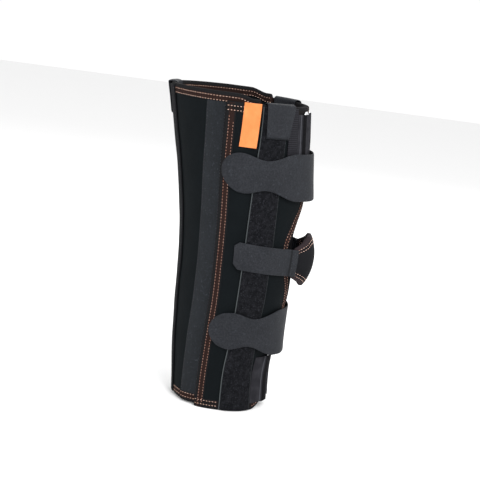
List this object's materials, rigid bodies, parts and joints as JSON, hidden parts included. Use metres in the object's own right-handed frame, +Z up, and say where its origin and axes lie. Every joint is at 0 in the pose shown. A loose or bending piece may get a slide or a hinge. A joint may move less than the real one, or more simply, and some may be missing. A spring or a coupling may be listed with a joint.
{
  "type": "knee immobilizer",
  "caption": "Long three-panel knee immobilizer, closed: padded black panels, stay pockets, grey hook straps, kneecap opening with a padded strap and a blank orange label.",
  "frame": {"origin": "on the surface under the middle of the standing brace", "axes": "+Z up the leg, -Y the front of the leg, -X the outer side of the right leg that wears it"},
  "size_m": [0.1704, 0.2136, 0.4076],
  "materials": {
    "panel_cloth": "matte black laminated foam cloth",
    "loop_cloth": "fuzzy black loop pile",
    "hook_tape": "dark grey hook tape",
    "woven_tape": "dark woven tape",
    "binding_cloth": "folded brown-black edge",
    "thread": "orange sewing thread",
    "label_cloth": "orange woven label, blank",
    "aluminium": "bare bar"
  },
  "bodies": {
    "root": {"posterior_panel": "panel_cloth", "posterior_stay_pocket": "panel_cloth", "posterior_tab": "hook_tape", "lateral_panel": "panel_cloth", "lateral_hook_strip": "hook_tape", "lateral_stay_pocket": "loop_cloth", "lateral_ribbed_tape": "woven_tape", "lateral_tab": "hook_tape", "lateral_thigh_channel": "woven_tape", "lateral_thigh_stay": "aluminium", "lateral_calf_channel": "woven_tape", "lateral_calf_stay": "aluminium", "lateral_knee_tape": "hook_tape", "medial_panel": "panel_cloth", "medial_hook_strip": "hook_tape", "medial_stay_pocket": "loop_cloth", "medial_ribbed_tape": "woven_tape", "medial_tab": "hook_tape", "medial_thigh_channel": "woven_tape", "medial_thigh_stay": "aluminium", "medial_calf_channel": "woven_tape", "medial_calf_stay": "aluminium", "medial_knee_tape": "hook_tape", "label": "label_cloth", "knee_pad": "panel_cloth", "upper_strap": "hook_tape", "lower_strap": "hook_tape"}
  },
  "joints": []
}
